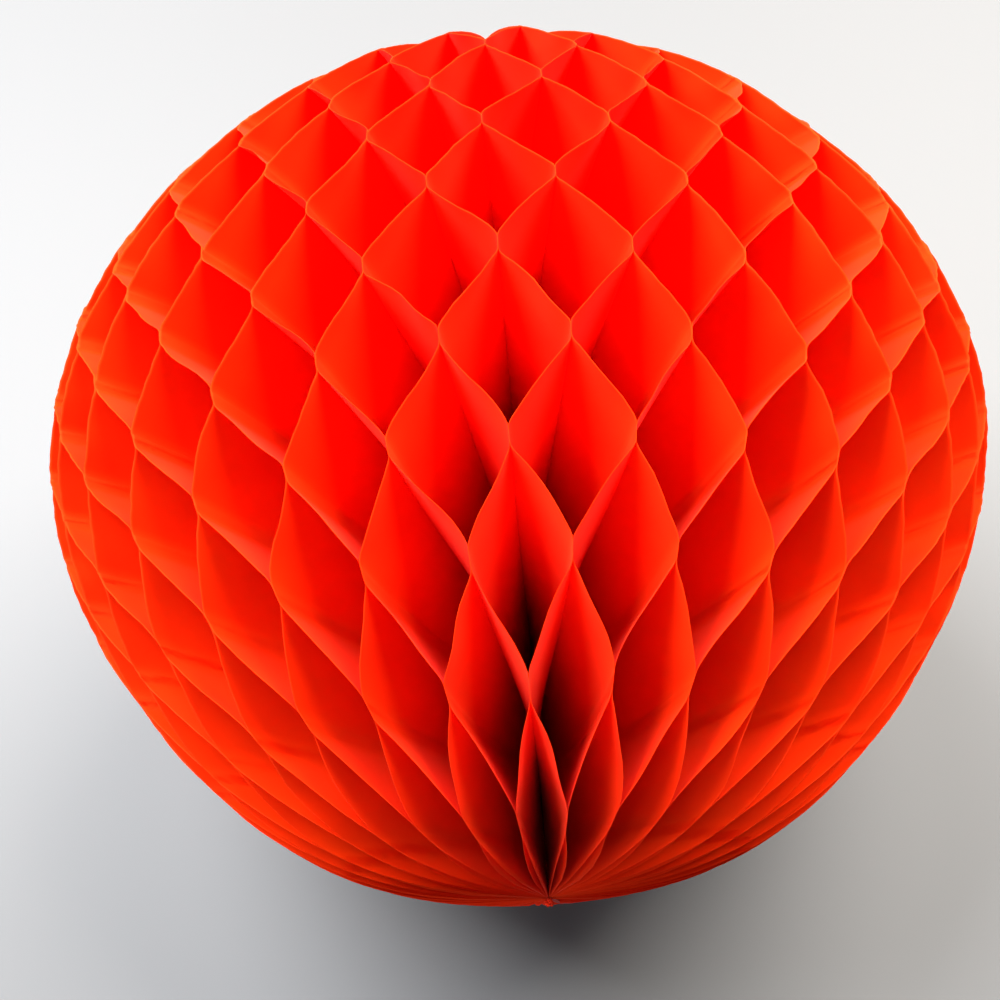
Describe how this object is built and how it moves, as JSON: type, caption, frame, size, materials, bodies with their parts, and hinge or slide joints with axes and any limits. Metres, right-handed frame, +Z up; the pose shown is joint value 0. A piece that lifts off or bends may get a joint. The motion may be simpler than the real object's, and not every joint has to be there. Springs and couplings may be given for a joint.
{
  "type": "honeycomb paper ball lantern",
  "caption": "Round honeycomb paper ball of red tissue leaves on a thread spine, opened as a fan between two half-round card covers.",
  "frame": {"origin": "bottom centre of the ball as it lies on its side, hanging tab and knots included", "axes": "+Z up, Y along the spine with the hanging tab at +Y and the plain pole at -Y, X across the leaves"},
  "size_m": [0.2498, 0.2427, 0.2484],
  "materials": {
    "tissue": "thin matte tissue paper, slightly translucent",
    "cover_card": "matte card faced with red paper",
    "spine_thread": "twisted cotton thread",
    "closing_tape": "double-sided adhesive tape"
  },
  "bodies": {
    "left_cover": {"left_cover": "cover_card", "closing_tape": "closing_tape"},
    "leaf_pair_01": {"leaf_pair_01": "tissue"},
    "leaf_pair_02": {"leaf_pair_02": "tissue"},
    "leaf_pair_03": {"leaf_pair_03": "tissue"},
    "leaf_pair_04": {"leaf_pair_04": "tissue"},
    "leaf_pair_05": {"leaf_pair_05": "tissue"},
    "leaf_pair_06": {"leaf_pair_06": "tissue"},
    "leaf_pair_07": {"leaf_pair_07": "tissue"},
    "leaf_pair_08": {"leaf_pair_08": "tissue"},
    "leaf_pair_09": {"leaf_pair_09": "tissue"},
    "leaf_pair_10": {"leaf_pair_10": "tissue"},
    "leaf_pair_11": {"leaf_pair_11": "tissue"},
    "leaf_pair_12": {"leaf_pair_12": "tissue"},
    "leaf_pair_13": {"leaf_pair_13": "tissue"},
    "leaf_pair_14": {"leaf_pair_14": "tissue"},
    "leaf_pair_15": {"leaf_pair_15": "tissue", "spine_thread": "spine_thread"},
    "leaf_pair_16": {"leaf_pair_16": "tissue"},
    "leaf_pair_17": {"leaf_pair_17": "tissue"},
    "leaf_pair_18": {"leaf_pair_18": "tissue"},
    "leaf_pair_19": {"leaf_pair_19": "tissue"},
    "leaf_pair_20": {"leaf_pair_20": "tissue"},
    "leaf_pair_21": {"leaf_pair_21": "tissue"},
    "leaf_pair_22": {"leaf_pair_22": "tissue"},
    "leaf_pair_23": {"leaf_pair_23": "tissue"},
    "leaf_pair_24": {"leaf_pair_24": "tissue"},
    "leaf_pair_25": {"leaf_pair_25": "tissue"},
    "leaf_pair_26": {"leaf_pair_26": "tissue"},
    "leaf_pair_27": {"leaf_pair_27": "tissue"},
    "leaf_pair_28": {"leaf_pair_28": "tissue"},
    "leaf_pair_29": {"leaf_pair_29": "tissue"},
    "leaf_pair_30": {"leaf_pair_30": "tissue"},
    "right_cover": {"right_cover": "cover_card"}
  },
  "joints": [
    {"name": "fan_hinge_01", "type": "hinge", "parent": "left_cover", "child": "leaf_pair_01", "pos_m": [0.00137, -0.00321, 0.11551], "axis": [0, -1, 0], "range_deg": [0, 6]},
    {"name": "fan_hinge_02", "type": "hinge", "parent": "leaf_pair_01", "child": "leaf_pair_02", "pos_m": [0, -0.00321, 0.12285], "axis": [0, -1, 0], "range_deg": [0, 12]},
    {"name": "fan_hinge_03", "type": "hinge", "parent": "leaf_pair_02", "child": "leaf_pair_03", "pos_m": [-0.00028, -0.00321, 0.12288], "axis": [0, -1, 0], "range_deg": [0, 12]},
    {"name": "fan_hinge_04", "type": "hinge", "parent": "leaf_pair_03", "child": "leaf_pair_04", "pos_m": [-0.00054, -0.00321, 0.12297], "axis": [0, -1, 0], "range_deg": [0, 12]},
    {"name": "fan_hinge_05", "type": "hinge", "parent": "leaf_pair_04", "child": "leaf_pair_05", "pos_m": [-0.00079, -0.00321, 0.12311], "axis": [0, -1, 0], "range_deg": [0, 12]},
    {"name": "fan_hinge_06", "type": "hinge", "parent": "leaf_pair_05", "child": "leaf_pair_06", "pos_m": [-0.001, -0.00321, 0.12329], "axis": [0, -1, 0], "range_deg": [0, 12]},
    {"name": "fan_hinge_07", "type": "hinge", "parent": "leaf_pair_06", "child": "leaf_pair_07", "pos_m": [-0.00116, -0.00321, 0.12352], "axis": [0, -1, 0], "range_deg": [0, 12]},
    {"name": "fan_hinge_08", "type": "hinge", "parent": "leaf_pair_07", "child": "leaf_pair_08", "pos_m": [-0.00127, -0.00321, 0.12378], "axis": [0, -1, 0], "range_deg": [0, 12]},
    {"name": "fan_hinge_09", "type": "hinge", "parent": "leaf_pair_08", "child": "leaf_pair_09", "pos_m": [-0.00133, -0.00321, 0.12405], "axis": [0, -1, 0], "range_deg": [0, 12]},
    {"name": "fan_hinge_10", "type": "hinge", "parent": "leaf_pair_09", "child": "leaf_pair_10", "pos_m": [-0.00133, -0.00321, 0.12433], "axis": [0, -1, 0], "range_deg": [0, 12]},
    {"name": "fan_hinge_11", "type": "hinge", "parent": "leaf_pair_10", "child": "leaf_pair_11", "pos_m": [-0.00127, -0.00321, 0.1246], "axis": [0, -1, 0], "range_deg": [0, 12]},
    {"name": "fan_hinge_12", "type": "hinge", "parent": "leaf_pair_11", "child": "leaf_pair_12", "pos_m": [-0.00116, -0.00321, 0.12486], "axis": [0, -1, 0], "range_deg": [0, 12]},
    {"name": "fan_hinge_13", "type": "hinge", "parent": "leaf_pair_12", "child": "leaf_pair_13", "pos_m": [-0.001, -0.00321, 0.12509], "axis": [0, -1, 0], "range_deg": [0, 12]},
    {"name": "fan_hinge_14", "type": "hinge", "parent": "leaf_pair_13", "child": "leaf_pair_14", "pos_m": [-0.00079, -0.00321, 0.12527], "axis": [0, -1, 0], "range_deg": [0, 12]},
    {"name": "fan_hinge_15", "type": "hinge", "parent": "leaf_pair_14", "child": "leaf_pair_15", "pos_m": [-0.00054, -0.00321, 0.12541], "axis": [0, -1, 0], "range_deg": [0, 12]},
    {"name": "fan_hinge_16", "type": "hinge", "parent": "leaf_pair_15", "child": "leaf_pair_16", "pos_m": [-0.00028, -0.00321, 0.1255], "axis": [0, -1, 0], "range_deg": [0, 12]},
    {"name": "fan_hinge_17", "type": "hinge", "parent": "leaf_pair_16", "child": "leaf_pair_17", "pos_m": [0, -0.00321, 0.12553], "axis": [0, -1, 0], "range_deg": [0, 12]},
    {"name": "fan_hinge_18", "type": "hinge", "parent": "leaf_pair_17", "child": "leaf_pair_18", "pos_m": [0.00028, -0.00321, 0.1255], "axis": [0, -1, 0], "range_deg": [0, 12]},
    {"name": "fan_hinge_19", "type": "hinge", "parent": "leaf_pair_18", "child": "leaf_pair_19", "pos_m": [0.00054, -0.00321, 0.12541], "axis": [0, -1, 0], "range_deg": [0, 12]},
    {"name": "fan_hinge_20", "type": "hinge", "parent": "leaf_pair_19", "child": "leaf_pair_20", "pos_m": [0.00079, -0.00321, 0.12527], "axis": [0, -1, 0], "range_deg": [0, 12]},
    {"name": "fan_hinge_21", "type": "hinge", "parent": "leaf_pair_20", "child": "leaf_pair_21", "pos_m": [0.001, -0.00321, 0.12509], "axis": [0, -1, 0], "range_deg": [0, 12]},
    {"name": "fan_hinge_22", "type": "hinge", "parent": "leaf_pair_21", "child": "leaf_pair_22", "pos_m": [0.00116, -0.00321, 0.12486], "axis": [0, -1, 0], "range_deg": [0, 12]},
    {"name": "fan_hinge_23", "type": "hinge", "parent": "leaf_pair_22", "child": "leaf_pair_23", "pos_m": [0.00127, -0.00321, 0.1246], "axis": [0, -1, 0], "range_deg": [0, 12]},
    {"name": "fan_hinge_24", "type": "hinge", "parent": "leaf_pair_23", "child": "leaf_pair_24", "pos_m": [0.00133, -0.00321, 0.12433], "axis": [0, -1, 0], "range_deg": [0, 12]},
    {"name": "fan_hinge_25", "type": "hinge", "parent": "leaf_pair_24", "child": "leaf_pair_25", "pos_m": [0.00133, -0.00321, 0.12405], "axis": [0, -1, 0], "range_deg": [0, 12]},
    {"name": "fan_hinge_26", "type": "hinge", "parent": "leaf_pair_25", "child": "leaf_pair_26", "pos_m": [0.00127, -0.00321, 0.12378], "axis": [0, -1, 0], "range_deg": [0, 12]},
    {"name": "fan_hinge_27", "type": "hinge", "parent": "leaf_pair_26", "child": "leaf_pair_27", "pos_m": [0.00116, -0.00321, 0.12352], "axis": [0, -1, 0], "range_deg": [0, 12]},
    {"name": "fan_hinge_28", "type": "hinge", "parent": "leaf_pair_27", "child": "leaf_pair_28", "pos_m": [0.001, -0.00321, 0.12329], "axis": [0, -1, 0], "range_deg": [0, 12]},
    {"name": "fan_hinge_29", "type": "hinge", "parent": "leaf_pair_28", "child": "leaf_pair_29", "pos_m": [0.00079, -0.00321, 0.12311], "axis": [0, -1, 0], "range_deg": [0, 12]},
    {"name": "fan_hinge_30", "type": "hinge", "parent": "leaf_pair_29", "child": "leaf_pair_30", "pos_m": [0.00054, -0.00321, 0.12297], "axis": [0, -1, 0], "range_deg": [0, 12]},
    {"name": "fan_hinge_31", "type": "hinge", "parent": "leaf_pair_30", "child": "right_cover", "pos_m": [0.00227, -0.00321, 0.1157], "axis": [0, -1, 0], "range_deg": [0, 6]}
  ],
  "couplings": [
    {"joint": "fan_hinge_01", "follows": "fan_hinge_31", "ratio": 1},
    {"joint": "fan_hinge_02", "follows": "fan_hinge_31", "ratio": 2},
    {"joint": "fan_hinge_03", "follows": "fan_hinge_31", "ratio": 2},
    {"joint": "fan_hinge_04", "follows": "fan_hinge_31", "ratio": 2},
    {"joint": "fan_hinge_05", "follows": "fan_hinge_31", "ratio": 2},
    {"joint": "fan_hinge_06", "follows": "fan_hinge_31", "ratio": 2},
    {"joint": "fan_hinge_07", "follows": "fan_hinge_31", "ratio": 2},
    {"joint": "fan_hinge_08", "follows": "fan_hinge_31", "ratio": 2},
    {"joint": "fan_hinge_09", "follows": "fan_hinge_31", "ratio": 2},
    {"joint": "fan_hinge_10", "follows": "fan_hinge_31", "ratio": 2},
    {"joint": "fan_hinge_11", "follows": "fan_hinge_31", "ratio": 2},
    {"joint": "fan_hinge_12", "follows": "fan_hinge_31", "ratio": 2},
    {"joint": "fan_hinge_13", "follows": "fan_hinge_31", "ratio": 2},
    {"joint": "fan_hinge_14", "follows": "fan_hinge_31", "ratio": 2},
    {"joint": "fan_hinge_15", "follows": "fan_hinge_31", "ratio": 2},
    {"joint": "fan_hinge_16", "follows": "fan_hinge_31", "ratio": 2},
    {"joint": "fan_hinge_17", "follows": "fan_hinge_31", "ratio": 2},
    {"joint": "fan_hinge_18", "follows": "fan_hinge_31", "ratio": 2},
    {"joint": "fan_hinge_19", "follows": "fan_hinge_31", "ratio": 2},
    {"joint": "fan_hinge_20", "follows": "fan_hinge_31", "ratio": 2},
    {"joint": "fan_hinge_21", "follows": "fan_hinge_31", "ratio": 2},
    {"joint": "fan_hinge_22", "follows": "fan_hinge_31", "ratio": 2},
    {"joint": "fan_hinge_23", "follows": "fan_hinge_31", "ratio": 2},
    {"joint": "fan_hinge_24", "follows": "fan_hinge_31", "ratio": 2},
    {"joint": "fan_hinge_25", "follows": "fan_hinge_31", "ratio": 2},
    {"joint": "fan_hinge_26", "follows": "fan_hinge_31", "ratio": 2},
    {"joint": "fan_hinge_27", "follows": "fan_hinge_31", "ratio": 2},
    {"joint": "fan_hinge_28", "follows": "fan_hinge_31", "ratio": 2},
    {"joint": "fan_hinge_29", "follows": "fan_hinge_31", "ratio": 2},
    {"joint": "fan_hinge_30", "follows": "fan_hinge_31", "ratio": 2}
  ]
}
